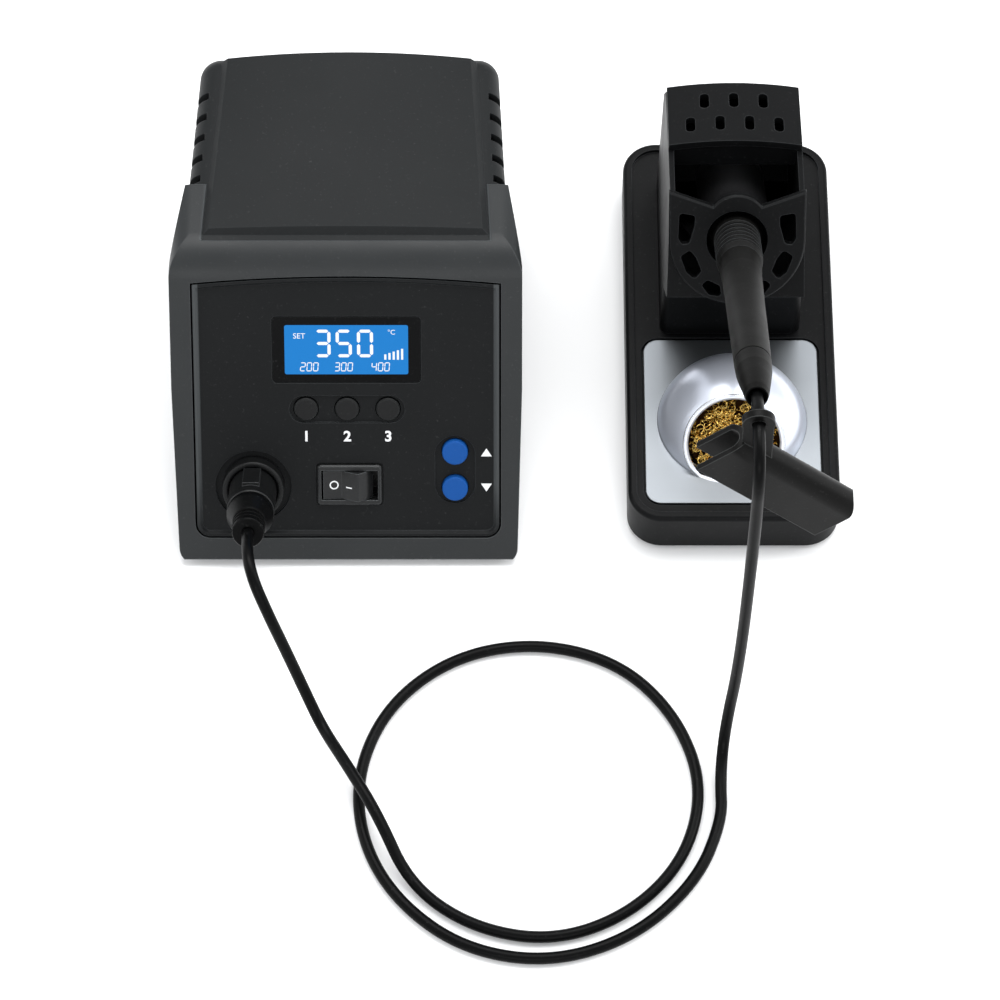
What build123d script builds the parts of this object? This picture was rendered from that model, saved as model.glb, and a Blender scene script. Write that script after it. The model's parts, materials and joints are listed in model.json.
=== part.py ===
"""Soldering station: control unit, iron in its stand, and the cord between them (millimetres, +Z up).

The origin is on the bench, in the middle of the unit, the stand and the iron taken together.
+X is to the right of someone facing the panel, +Y points away from them.
"""
import os
from math import atan2, cos, degrees, pi, radians, sin, sqrt, tan

from build123d import *

# ---- overall sizes -------------------------------------------------------------------------------
unit_x = -52.5              # middle of the control unit
unit_front_y = -60.0        # bottom front edge of the unit
unit_depth = 148.0
unit_top_back = 84.2        # height of the lid's back edge
unit_top_slope = 0.060      # the lid rises towards the front by this share
panel_lean = 36.0           # the front leans back from upright by this many degrees
brow_radius = 16.0
frame_top_half = 57.15      # half widths of the front frame
frame_foot_half = 55.65
body_front_half = 53.2      # half widths of the housing behind the frame and at the back
body_back_half = 49.3
shoulder_y = 62.0           # depth, from the front edge, at which the housing has its front half width
cheek_end_y = 91.5          # where the frame's cheeks run out along the housing
shoulder_round = 7.0
wall = 2.5
split_z = 30.0              # joint between the lid and the tray of the housing
foot_height = 3.0
frame_depth = 5.0
gap = 0.3                   # clearance between pieces that don't touch
slip = 0.05                 # radial clearance of pins, screws and shafts

# ---- front panel, in its own plane: x right, y up the slope, z out ---------------------------------
panel_foot = 7.6            # from the unit's bottom edge up to the opening
panel_width = 100.6
panel_height = 89.0
panel_arch = 2.4            # rise of its top edge in the middle
panel_corner = 5.0
panel_thickness = 2.5
panel_sink = 1.2            # panel face below the frame
panel_lip = 1.7
groove = 0.6
lcd_y, lcd_recess, lcd_view = 65.7, (48.5, 23.1), (40.2, 17.0)
preset_y, preset_pitch, preset_recess, preset_radius = 45.0, 13.4, (37.8, 9.4), 3.95
step_x, step_ys, step_recess, step_radius = 35.2, (17.5, 30.2), (13.2, 23.6), 4.2
button_travel = 1.0
rocker_x, rocker_y, rocker_bezel, rocker_hole = 0.6, 18.7, (21.0, 14.0), (19.0, 12.0)
rocker_pivot_z = -4.2
socket_x, socket_y, socket_recess_radius, socket_ring_radius = -31.0, 17.9, 12.5, 10.1
plug_radius = 7.75
board_z = -14.0             # back face of the control board
board_thickness = 1.6

# ---- stand ---------------------------------------------------------------------------------------
stand_x = 74.65
stand_width, stand_length, stand_height = 70.0, 152.5, 18.5
stand_front_y = -54.0
stand_corner = 11.5
stand_foot = 2.0
rim, rim_sink = 3.0, 1.4
tray_width, tray_length, tray_front = 58.0, 64.5, 7.2
tray_sheet = 0.8
dome_y, dome_radius, dome_height = -14.5, 25.5, 20.0
mouth_tilt = 47.0
mouth_radius = 16.4
wool_depth = 3.5            # wool surface below the mouth
tower_width, tower_front, tower_back = 47.0, 20.4, 84.0
tunnel_width = 40.4
tower_draft = 1.3           # degrees by which each side leans in
hood_sheet = 2.4
hood_front = (48.0, 86.5)   # depth and height of the hood's front and back edges
hood_back = (77.0, 79.1)
hood_rise = 2.0             # crown of the hood across its width
hood_lip = 9.0              # how far its front lip hangs down
hood_slot, hood_slot_pitch = (3.1, 7.4), 9.7
tunnel_depth = 68.0
tower_chin = 44.0           # the casing's front leans forward above this height
tower_hollow_top = 36.0

# ---- iron, along its own axis: z out of the holder, measured from the face plate's hole ------------
iron_rise = 35.0            # degrees above level
hole_y, hole_z = 16.0, 78.0
hole_radius = 10.0
plate_sheet = 3.0
grip_end, joint_end, cap_end = 24.0, 110.0, 137.4
grip_radius, handle_radius, cap_radius = 7.0, 5.8, 3.4
cord_radius = 1.9

front = Plane(origin=(unit_x, unit_front_y, foot_height), x_dir=(1, 0, 0),
              z_dir=(0, -cos(radians(panel_lean)), sin(radians(panel_lean))))
iron_plane = Plane(origin=(stand_x, hole_y, hole_z), x_dir=(1, 0, 0),
                   z_dir=(0, -cos(radians(iron_rise)), sin(radians(iron_rise))))


def block(x, y, z):
    """A box from its two limits along each axis."""
    size = [high - low for low, high in (x, y, z)]
    middle = [(high + low) / 2 for low, high in (x, y, z)]
    return Pos(*middle) * Box(*size)


def rod(radius, low, high, x=0.0, y=0.0):
    """A cylinder along Z between two heights."""
    return Pos(x, y, (low + high) / 2) * Cylinder(radius, high - low)


def tube(outer, inner, low, high, x=0.0, y=0.0):
    return rod(outer, low, high, x, y) - rod(inner, low - 1, high + 1, x, y)


def slab(width, length, corner, low, high, x=0.0, y=0.0):
    """A plate with round plan corners between two heights."""
    return Pos(x, y, low) * extrude(RectangleRounded(width, length, corner), high - low)


def stadium(width, length, low, high, x=0.0, y=0.0):
    return slab(width, length, min(width, length) / 2 - 0.01, low, high, x, y)


def turned(points):
    """A closed outline in (radius, height) turned about Z."""
    return revolve(Plane.XZ * make_face(Polyline(*points, close=True)), Axis.Z)


def on_front(shape, x=0.0, height=0.0):
    """Places a shape made in the panel's own frame; height runs up from the panel opening's foot."""
    return front.location * Pos(x, panel_foot + height, 0) * shape


def on_iron(shape):
    return iron_plane.location * shape


def group(shapes):
    return Compound(children=list(shapes))


# ---- housing -------------------------------------------------------------------------------------
def lid_height(y):
    """Height of the lid's top at a depth from the unit's front edge."""
    return unit_top_back + unit_top_slope * (unit_depth - y)


def side_profile(inset):
    """The unit seen from the side, as a prism far wider than the unit."""
    run = tan(radians(panel_lean))
    brow_z = (lid_height(0) + unit_top_slope * run * foot_height) / (1 + unit_top_slope * run)
    brow_y = run * (brow_z - foot_height)
    outline = Polyline((0, foot_height), (brow_y, brow_z), (unit_depth, unit_top_back),
                       (unit_depth, foot_height), close=True)
    face = make_face(outline)
    face = fillet(face.vertices().sort_by(Axis.Y)[-1], brow_radius)
    back = face.vertices().filter_by(lambda v: abs(v.X - unit_depth) < 0.01).sort_by(Axis.Y)[-1]
    face = fillet(back, 8.0)
    if inset:
        face = offset(face, -inset, kind=Kind.INTERSECTION)
    return Pos(unit_x, unit_front_y, 0) * extrude(Plane.YZ * face, 80, both=True)


def plan_prism(points, top_round, low=foot_height, high=120.0):
    """Half plan outline of (depth, half width) points mirrored and raised."""
    right = [(half, y) for y, half in points]
    left = [(-half, y) for y, half in reversed(points)]
    prism = extrude(make_face(Polyline(*right, *left, close=True)), high - low)
    return Pos(unit_x, unit_front_y, low) * prism


def housing_half(y):
    """Half width of the housing at a depth."""
    share = (y - shoulder_y) / (unit_depth - shoulder_y)
    return body_front_half + (body_back_half - body_front_half) * share


def envelope(inset=0.0):
    """Outer form of the housing behind the frame, or its inside when inset by the wall."""
    form = plan_prism([(-20, housing_half(-20) - inset),
                       (unit_depth + 20, housing_half(unit_depth + 20) - inset)], 0)
    form = form & side_profile(inset)
    long_edges = [e for e in form.edges()
                  if e.center().Z > 80 and e.length > 60 and abs(e.center().X - unit_x) > 40]
    return fillet(long_edges, max(shoulder_round - inset, 1.0))


def front_zone(z_near, z_far):
    """Everything between two depths behind the front plane."""
    return front.location * block((-90, 90), (-60, 200), (z_far, z_near))


def shoulder_prism(half):
    """A bar under the lid's plane with round upper edges."""
    bar = block((-half, half), (-100, 300), (-150, 0))
    bar = fillet(bar.edges().filter_by(Axis.Y).sort_by(Axis.Z)[-2:], shoulder_round)
    fall = -degrees(atan2(unit_top_slope, 1))
    return Pos(unit_x, unit_front_y, lid_height(0)) * Rot(fall, 0, 0) * bar


def panel_prism(inset, low, high):
    """The panel opening's outline, inset evenly: round foot corners, square top corners, arched top edge."""
    half, top = panel_width / 2 - inset, panel_height - inset
    corner = panel_corner - inset
    foot = inset + corner
    turn = corner * (1 - sqrt(0.5))
    outline = [Line((-half + corner, inset), (half - corner, inset)),
               ThreePointArc((half - corner, inset), (half - turn, inset + turn), (half, foot)),
               Line((half, foot), (half, top)),
               ThreePointArc((half, top), (0, top + panel_arch), (-half, top)),
               Line((-half, top), (-half, foot)),
               ThreePointArc((-half, foot), (-half + turn, inset + turn), (-half + corner, inset))]
    return Pos(0, 0, low) * extrude(make_face(outline), high - low)


def front_frame():
    points = [(-20, frame_top_half), (shoulder_y, frame_top_half),
              (cheek_end_y, housing_half(cheek_end_y) + 0.8),
              (cheek_end_y + 0.1, 40)]
    form = plan_prism(points, 0) & side_profile(0)
    form = form & shoulder_prism(frame_top_half)
    outline = Polyline((-frame_foot_half, -2), (frame_foot_half, -2), (frame_top_half, 60),
                       (frame_top_half, 130),
                       (-frame_top_half, 130), (-frame_top_half, 60), close=True)
    face = make_face(outline)
    face = fillet(face.vertices().sort_by(Axis.Y)[:2], 6.0)
    form = form & (front.location * Pos(0, 0, -60) * extrude(face, 70))
    form = form & front_zone(2, -60)
    form -= on_front(panel_prism(0, -9, 11))
    return form - (envelope(-0.02) & front_zone(-frame_depth, -200))


def shell(low, high):
    form = envelope() - envelope(wall)
    form = form & front_zone(-frame_depth - 0.02, -200)
    return form & block((-200, 200), (-200, 200), (low, high))


boss_points = [(sx * 43.0, y) for sx in (-1, 1) for y in (78.0, 134.0)]


def unit_at(x, y):
    return unit_x + x, unit_front_y + y


def lower_housing():
    form = shell(foot_height, split_z)
    for x, y in boss_points:
        px, py = unit_at(x, y)
        form += rod(4.0, foot_height + 0.5, split_z, px, py)
        form -= rod(1.5 + slip, foot_height - 1, split_z + 1, px, py)
        form -= rod(3.2, foot_height - 1, foot_height + 3, px, py)
    px, py = unit_at(inlet_x, unit_depth)
    form -= block((px - inlet_w / 2, px + inlet_w / 2), (py - 5, py + 5),
                  (inlet_z - inlet_h / 2, split_z + 1))
    for x in range(-30, 31, 10):
        px, py = unit_at(x, 95)
        form -= stadium(3, 24, foot_height - 1, foot_height + 5, px, py)
    return form


inlet_x, inlet_z, inlet_w, inlet_h = 20.0, 34.0, 28.0, 20.0
vent_pitch, vent_width, vent_count, vent_start = 8.7, 3.0, 5, 94.6


# raised panel of the lid: half widths and crowns at its front and back, and its bevelled border
pad_front, pad_front_half, pad_front_crown = 69.5, 46.4, 0.3
pad_rear, pad_rear_half, pad_rear_crown = 143.5, 42.2, 3.4
pad_bevel = 2.0


def lid_pad():
    """Raised panel that runs from the frame to the back and grows more arched towards the back."""
    sections = []
    for y, half, crown in ((pad_front - 8, pad_front_half + 0.4, pad_front_crown),
                           (pad_rear, pad_rear_half, pad_rear_crown)):
        foot, top = lid_height(y) - 1.0, lid_height(y) + pad_bevel
        edge = half - pad_bevel
        outline = [Line((half, foot), (-half, foot)), Line((-half, foot), (-half, foot + 1.0)),
                   Line((-half, foot + 1.0), (-edge, top)),
                   ThreePointArc((-edge, top), (0, top + crown), (edge, top)),
                   Line((edge, top), (half, foot + 1.0)), Line((half, foot + 1.0), (half, foot))]
        sections.append(Pos(unit_x, unit_front_y + y, 0) * Plane.XZ.location * make_face(outline))
    pad = loft(sections, ruled=True)
    return pad & front_zone(-frame_depth - 1.5, -200)


def top_cover():
    form = shell(split_z, 130)
    form += lid_pad()
    for i in range(vent_count):
        y = vent_start + i * vent_pitch
        for side in (-1, 1):
            x = side * (housing_half(y) + 2)
            px, py = unit_at(x, y)
            form -= block((px - 6, px + 6), (py - vent_width / 2, py + vent_width / 2), (58, 120))
    inside = envelope(wall)
    for x, y in boss_points:
        px, py = unit_at(x, y)
        post = rod(4.0, split_z, 95, px, py) & (inside + rod(4.0, 20, 40, px, py))
        post = post & front_zone(-frame_depth, -200)
        form += post
        form -= rod(1.5 + slip, split_z - 1, split_z + 12, px, py)
    px, py = unit_at(inlet_x, unit_depth)
    form -= block((px - inlet_w / 2, px + inlet_w / 2), (py - 5, py + 5),
                  (split_z - 1, inlet_z + inlet_h / 2))
    return form


def housing_screws():
    shapes = []
    for x, y in boss_points:
        px, py = unit_at(x, y)
        shapes.append(rod(1.5, foot_height + 1, split_z + 11, px, py)
                      + rod(3.0, foot_height + 0.4, foot_height + 2.8, px, py))
    return group(shapes)


def unit_feet():
    spots = [unit_at(sx * 40, y) for sx in (-1, 1) for y in (20, 122)]
    return group(turned([(0, 0), (5.2, 0), (6, 0.8), (6, foot_height),
                         (0, foot_height)]).moved(Location((x, y, 0)))
                 for x, y in spots)


# ---- panel and what is set in it -------------------------------------------------------------------
def front_panel():
    face = -panel_sink
    form = panel_prism(groove, face - panel_thickness, face)
    lip = panel_prism(groove, face - 0.2, -0.2) - panel_prism(groove + panel_lip, face - 1, 1)
    form += chamfer(lip.faces().sort_by(Axis.Z)[-1].inner_wires()[0].edges(), 0.8)
    form -= slab(*lcd_recess, 1.5, face - 1.0, 1, 0, lcd_y)
    form -= slab(lcd_view[0] + 1, lcd_view[1] + 1, 1.0, face - 5, 1, 0, lcd_y)
    form -= stadium(*preset_recess, face - 0.8, 1, 0, preset_y)
    for i in (-1, 0, 1):
        form -= rod(preset_radius + gap, -9, 2, i * preset_pitch, preset_y)
    form -= stadium(*step_recess, face - 0.8, 1, step_x, sum(step_ys) / 2)
    for y in step_ys:
        form -= rod(step_radius + gap, -9, 2, step_x, y)
    form -= slab(*rocker_hole, 0.6, -9, 2, rocker_x, rocker_y)
    form -= slab(rocker_bezel[0] + 1.2, rocker_bezel[1] + 0.6, 1.0, face - 0.6, 2, rocker_x, rocker_y)
    form -= rod(socket_recess_radius, face - 1.6, 2, socket_x, socket_y)
    form -= rod(8.6 + gap, -9, 2, socket_x, socket_y)
    return on_front(form)


def lcd_window():
    face = -panel_sink
    return on_front(slab(lcd_recess[0] - gap, lcd_recess[1] - gap, 1.3, face - 1.0, face - 0.1), 0, lcd_y)


def lcd_module():
    face = -panel_sink - panel_thickness
    form = block((-23, 23), (-12, 12), (face - 4.2, face - gap))
    form += slab(*lcd_view, 0.6, face - 1, -panel_sink - 1.0 - gap)
    return on_front(form, 0, lcd_y)


def control_board():
    form = slab(88, 74, 2, board_z, board_z + board_thickness, 0, 44)
    form -= rod(10.5, board_z - 1, board_z + 5, socket_x, socket_y)
    form -= slab(22, 15, 1, board_z - 1, board_z + 5, rocker_x, rocker_y)
    for x, y in board_screw_points:
        form -= rod(1.3 + slip, board_z - 1, board_z + 5, x, y)
    for x, y, w, h, t in ((-14, 62, 14, 9, 2.2), (16, 60, 9, 9, 2.0), (-32, 60, 8, 16, 6.0),
                          (28, 66, 12, 6, 5.0)):
        form += block((x - w / 2, x + w / 2), (y - h / 2, y + h / 2), (board_z - t, board_z + 0.1))
    return on_front(form)


board_screw_points = [(-41, 10), (41, 10), (-41, 78), (41, 78)]


def board_screws():
    """Screws with their spacers between the panel's back and the board."""
    shapes = []
    back = -panel_sink - panel_thickness
    for x, y in board_screw_points:
        post = tube(2.8, 1.3 + slip, board_z + board_thickness, back, x, y)
        screw = rod(1.3, board_z - 0.5, back - 1, x, y) + rod(2.4, board_z - 2, board_z, x, y)
        shapes += [post, screw]
    return on_front(group(shapes))


def tact_switches():
    top = board_z + board_thickness
    spots = [(i * preset_pitch, preset_y) for i in (-1, 0, 1)] + [(step_x, y) for y in step_ys]
    return on_front(group(block((x - 3, x + 3), (y - 3, y + 3), (top, top + 2.2))
                          + rod(1.7, top + 2, top + 2.6, x, y)
                          for x, y in spots))


def button(radius, rise):
    """A cap with a soft edge, a flange behind the panel and a stem towards its switch."""
    back = -panel_sink - panel_thickness
    top = -panel_sink + rise
    cap = rod(radius, back - 1.2, top)
    cap = fillet(cap.edges().sort_by(Axis.Z)[-1], 0.6)
    cap += rod(radius + 0.9, back - 1.2, back - 0.4)
    return cap + rod(1.6, board_z + board_thickness + 2.6 + button_travel + gap, back - 1)


def rocker_housing():
    face = -panel_sink
    form = slab(*rocker_bezel, 1.2, face - 0.55, face + 1.3)
    form = chamfer(form.faces().sort_by(Axis.Z)[-1].outer_wire().edges(), 0.4)
    form += slab(rocker_hole[0] - gap, rocker_hole[1] - gap, 0.5, -17, face)
    form -= block((-9.3, 9.3), (-5.2, 5.2), (-12, 5))
    form -= Pos(0, 0, rocker_pivot_z) * Rot(90, 0, 0) * Cylinder(1.0 + slip, 11.6)
    for x in (-6, 0, 6):
        form += block((x - 0.4, x + 0.4), (-2.4, 2.4), (-24, -16.9))
    return on_front(form, rocker_x, rocker_y)


def rocker_paddle():
    """The pressed half lies level; the other half rises to a ridge and falls away steeply."""
    points = [(-8.7, -0.1), (-2.6, -0.5), (2.9, 2.6), (7.6, -2.0), (6.4, -7.6), (-6.4, -7.6)]
    face = make_face(Polyline(*points, close=True))
    form = extrude(Plane.XZ * face, 4.9, both=True)
    ridge = form.edges().filter_by(Axis.Y).sort_by(Axis.Z)[-1]
    form = fillet(ridge, 0.5)
    form += Pos(0, 0, rocker_pivot_z) * Rot(90, 0, 0) * Cylinder(1.0, 11.2)
    return on_front(form, rocker_x, rocker_y)


pin_ring = 4.0
pin_angles = [30, 90, 150, 210, 330]


def pin_spots():
    return [(pin_ring * cos(radians(a)), pin_ring * sin(radians(a))) for a in pin_angles]


def panel_socket():
    floor = -panel_sink - 1.6
    form = tube(socket_ring_radius, plug_radius + 0.35, floor, 3.0)
    form = fillet(form.edges().sort_by(Axis.Z)[-2:], 0.7)
    form += rod(8.6, -13, floor) - rod(6.4, -14, -6)
    form -= rod(plug_radius + 0.35, floor + 0.8, 5)
    for x, y in pin_spots():
        form -= rod(0.5 + 0.2, -9, 5, x, y)
    return on_front(form, socket_x, socket_y)


def socket_nut():
    back = -panel_sink - panel_thickness
    form = Pos(0, 0, back - 2.6) * extrude(RegularPolygon(11.2, 6), 2.6) - rod(8.6 + slip, -20, 5)
    return on_front(form, socket_x, socket_y)


def socket_contacts():
    return on_front(group(rod(0.9, -20, -7.6, x, y) for x, y in pin_spots()), socket_x, socket_y)


plug_face = -1.9
plug_shell_end, plug_collar_end, plug_end = 22.0, 30.0, 39.0


def plug_shell():
    form = rod(plug_radius, plug_face, plug_shell_end)
    form = chamfer(form.edges().sort_by(Axis.Z)[-1], 0.8)
    form += block((-2.8, 2.8), (plug_radius - 1, plug_radius + 0.9), (4.5, 17.0))
    form -= rod(5.2, 14, 30)
    for x, y in pin_spots():
        form -= rod(0.5 + slip, -3, 30, x, y)
    return on_front(form, socket_x, socket_y)


def plug_collar():
    points = [(cord_radius + 0.02, 14.3), (5.1, 14.3), (5.1, plug_shell_end), (7.6, plug_shell_end),
              (7.6, 24.5), (5.6, plug_collar_end)]
    for i in range(3):
        z = plug_collar_end + 0.6 + 2.6 * i
        points += [(5.3, z), (4.5, z + 0.3), (4.5, z + 1.1), (5.25, z + 1.4)]
    points += [(5.2, plug_end - 0.4), (4.9, plug_end), (cord_radius + 0.02, plug_end)]
    return on_front(turned(points), socket_x, socket_y)


def plug_pins():
    return on_front(group(rod(0.5, plug_face - 4.0, 13.5, x, y) for x, y in pin_spots()), socket_x, socket_y)


# ---- inside the unit --------------------------------------------------------------------------------
core_x, core_y = -16.0, 108.0
core_w, core_d, core_h = 54.0, 34.0, 46.0


def transformer_core():
    x, y = unit_at(core_x, core_y)
    low = foot_height + wall
    form = block((x - core_w / 2, x + core_w / 2), (y - core_d / 2, y + core_d / 2), (low, low + core_h))
    for side in (-1, 1):
        middle = x + side * 13.5
        form -= block((middle - 4.5, middle + 4.5), (y - 30, y + 30), (low + 9, low + core_h - 9))
    return form


def transformer_winding():
    x, y = unit_at(core_x, core_y)
    low = foot_height + wall + 9 + gap
    high = foot_height + wall + core_h - 9 - gap
    form = block((x - 17.6, x + 17.6), (y - 26, y + 26), (low, high))
    form -= block((x - 9 - gap, x + 9 + gap), (y - core_d / 2 - gap, y + core_d / 2 + gap), (0, 90))
    for side in (-1, 1):
        middle = x + side * 22
        form -= block((middle - 4.1, middle + 8), (y - core_d / 2 - gap, y + core_d / 2 + gap), (0, 90))
    return form


def power_heatsink():
    x, y = unit_at(30, 96)
    low = foot_height + wall
    form = block((x - 9, x + 9), (y - 14, y + 14), (low, low + 4))
    for i in range(6):
        fin = y - 12.5 + i * 5
        form += block((x - 9, x + 9), (fin - 0.8, fin + 0.8), (low + 3, low + 24))
    return form


def mains_inlet():
    x, y = unit_at(inlet_x, unit_depth)
    form = block((x - inlet_w / 2 - 3, x + inlet_w / 2 + 3), (y, y + 2),
                 (inlet_z - inlet_h / 2 - 2, inlet_z + inlet_h / 2 + 2))
    form += block((x - inlet_w / 2 + gap, x + inlet_w / 2 - gap), (y - 20, y + 0.5),
                  (inlet_z - inlet_h / 2 + gap, inlet_z + inlet_h / 2 - gap))
    form -= block((x - 11.8, x + 11.8), (y - 15, y + 5), (inlet_z - 7.6, inlet_z + 7.6))
    for px, pz in inlet_pin_spots():
        form -= block((px - 1.05, px + 1.05), (y - 30, y), (pz - 2.05, pz + 2.05))
    return form


def inlet_pin_spots():
    x, _ = unit_at(inlet_x, 0)
    return [(x - 7, inlet_z - 2), (x, inlet_z + 2), (x + 7, inlet_z - 2)]


def inlet_pins():
    _, y = unit_at(0, unit_depth)
    return group(block((px - 1, px + 1), (y - 26, y - 5), (pz - 2, pz + 2)) for px, pz in inlet_pin_spots())


# ---- stand ------------------------------------------------------------------------------------------
stand_mid_y = stand_front_y + stand_length / 2
stand_deck = stand_height - rim_sink
tray_y = stand_front_y + tray_front + tray_length / 2


def stand_base():
    form = slab(stand_width, stand_length, stand_corner, stand_foot, stand_height, stand_x, stand_mid_y)
    form = fillet(form.faces().sort_by(Axis.Z)[-1].outer_wire().edges(), 1.6)
    form -= slab(stand_width - 2 * rim, stand_length - 2 * rim, stand_corner - rim, stand_deck, 40, stand_x,
                 stand_mid_y)
    form -= slab(stand_width - 5, stand_length - 5, stand_corner - wall, 0, stand_deck - 2.6, stand_x,
                 stand_mid_y)
    form -= slab(tray_width + 1.6, tray_length + 1.6, 5.8, stand_deck - 1.4, 40, stand_x, tray_y)
    form -= rod(21.5, 0, 40, stand_x, dome_y)
    form += tube(4.0, 1.5 + slip, stand_foot + 2, stand_deck - 1, *stand_screw_points[0])
    for x, y in stand_screw_points[1:]:
        form += tube(4.0, 1.5 + slip, stand_foot + 2, stand_deck - 1, x, y)
    for x, y in tower_screw_points:
        form -= rod(1.5 + slip, 0, 40, x, y)
    return form


stand_screw_points = [(stand_x + sx * 26, stand_mid_y + sy * 66) for sx in (-1, 1) for sy in (-1, 1)]
tower_screw_points = [(stand_x + sx * 19, y) for sx in (-1, 1) for y in (tower_front + 7, tower_back - 7)]


def stand_bottom_plate():
    form = slab(stand_width - 5 - 2 * gap, stand_length - 5 - 2 * gap, stand_corner - wall - gap,
                stand_foot, stand_foot + 2,
                stand_x, stand_mid_y)
    for x, y in stand_screw_points:
        form -= rod(1.5 + slip, 0, 9, x, y)
    return form


def stand_screws():
    shapes = [rod(1.5, stand_foot, stand_foot + 9, x, y) + rod(2.8, stand_foot - 1.2, stand_foot, x, y)
              for x, y in stand_screw_points]
    shapes += [rod(1.5, stand_deck - 4, stand_deck + 8, x, y)
               + rod(2.8, stand_deck - 4, stand_deck - 2.6, x, y)
               for x, y in tower_screw_points]
    return group(shapes)


def stand_feet():
    spots = [(stand_x + sx * 25, stand_mid_y + sy * 55) for sx in (-1, 1) for sy in (-1, 1)]
    return group(rod(5.0, 0, stand_foot, x, y) for x, y in spots)


def dome_form(radius):
    """Ball cap standing on the tray, and the tilted plane's half space that cuts its mouth."""
    centre = stand_deck + dome_height - dome_radius
    cap = Pos(stand_x, dome_y, centre) * Sphere(radius)
    return cap & block((0, 200), (-200, 200), (stand_deck - 0.6, 200))


def mouth_cut(reach=0.0):
    centre = Vector(stand_x, dome_y, stand_deck + dome_height - dome_radius)
    normal = Vector(0, -sin(radians(mouth_tilt)), cos(radians(mouth_tilt)))
    away = sqrt(dome_radius ** 2 - mouth_radius ** 2) + reach
    plane = Plane(origin=centre + normal * away, x_dir=(1, 0, 0), z_dir=normal)
    return plane.location * Pos(0, 0, 30) * Box(90, 90, 60)


def cleaner_tray():
    low = stand_deck - 0.8
    form = slab(tray_width, tray_length, 5.0, low, low + tray_sheet, stand_x, tray_y)
    foot_radius = sqrt(dome_radius ** 2 - (dome_radius - dome_height) ** 2)
    form -= rod(foot_radius - tray_sheet - 0.4, 0, 60, stand_x, dome_y)
    dome = dome_form(dome_radius) - dome_form(dome_radius - tray_sheet) - mouth_cut()
    centre = Vector(stand_x, dome_y, stand_deck + dome_height - dome_radius)
    normal = Vector(0, -sin(radians(mouth_tilt)), cos(radians(mouth_tilt)))
    away = sqrt(dome_radius ** 2 - mouth_radius ** 2)
    ring = Plane(origin=centre + normal * away, x_dir=(1, 0, 0), z_dir=normal)
    bead = ring.location * Torus(mouth_radius - 0.3, 0.7)
    bead = bead & block((0, 200), (-200, 200), (low, 200))
    return form + dome + bead


def wool_cup():
    return tube(21.2, 20.6, stand_foot + 2.2, stand_deck - 1.0, stand_x, dome_y) \
        + rod(21.2, stand_foot + 2.2, stand_foot + 2.8, stand_x, dome_y)


def brass_wool():
    """Fills the cup and the dome up to a little below the tilted mouth."""
    low = stand_foot + 2.8 + gap
    heap = rod(20.2, low, stand_deck + dome_height, stand_x, dome_y)
    centre = stand_deck + dome_height - dome_radius
    ball = Pos(stand_x, dome_y, centre) * Sphere(dome_radius - tray_sheet - 0.8)
    heap = heap & (ball + rod(20.2, low, stand_deck - 1.0, stand_x, dome_y))
    return heap - mouth_cut(-wool_depth)


def tower_profile():
    """Side view of the holder's casing, from the deck to its sloping top."""
    up = Vector(sin(radians(iron_rise)), cos(radians(iron_rise)))
    hole = Vector(hole_y, hole_z)
    inward = Vector(cos(radians(iron_rise)), -sin(radians(iron_rise))) * plate_sheet
    low_front = hole - up * 21 + inward
    top_front = hole + up * 14.5 + inward
    drop = hood_sheet / cos(radians(hood_line()[1])) + 0.02
    return [(tower_front, stand_deck), (tower_front, tower_chin), (low_front.X, low_front.Y),
            (top_front.X, top_front.Y),
            (hood_front[0], hood_front[1] - drop), (hood_back[0], hood_back[1] - drop), (tower_back, 66),
            (tower_back, stand_deck)]


def hood_line():
    """Length and tilt of the hood's top, seen from the side."""
    (y0, z0), (y1, z1) = hood_front, hood_back
    return sqrt((y1 - y0) ** 2 + (z1 - z0) ** 2), degrees(atan2(z1 - z0, y1 - y0))


def holder_tower():
    form = extrude(Plane.YZ * make_face(Polyline(*tower_profile(), close=True)), tower_width / 2, both=True)
    form = Pos(stand_x, 0, 0) * form
    upright = [e for e in form.edges().filter_by(Axis.Z) if e.length > 15]
    form = fillet(upright, 3.0)
    for side in (-1, 1):
        form -= Pos(stand_x + side * tower_width / 2, 0, stand_deck) * Rot(0, -side * tower_draft, 0) * \
            Pos(side * 15, 50, 40) * Box(30, 140, 120)
    trough = RectangleRounded(tunnel_width, 90, 18.0)
    form -= on_iron(Pos(0, 45 - tunnel_width / 2, -tunnel_depth) * extrude(trough, 90))
    middle = (tower_front + tower_back) / 2
    half = (tower_back - tower_front) / 2 - wall
    form -= block((stand_x - 20, stand_x + 20), (middle - half, middle + half), (0, tower_hollow_top))
    for x, y in tower_screw_points:
        form += rod(3.0, stand_deck, stand_deck + 12, x, y)
    for x, y in tower_screw_points:
        form -= rod(1.5 + slip, 0, stand_deck + 9, x, y)
    return form


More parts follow.
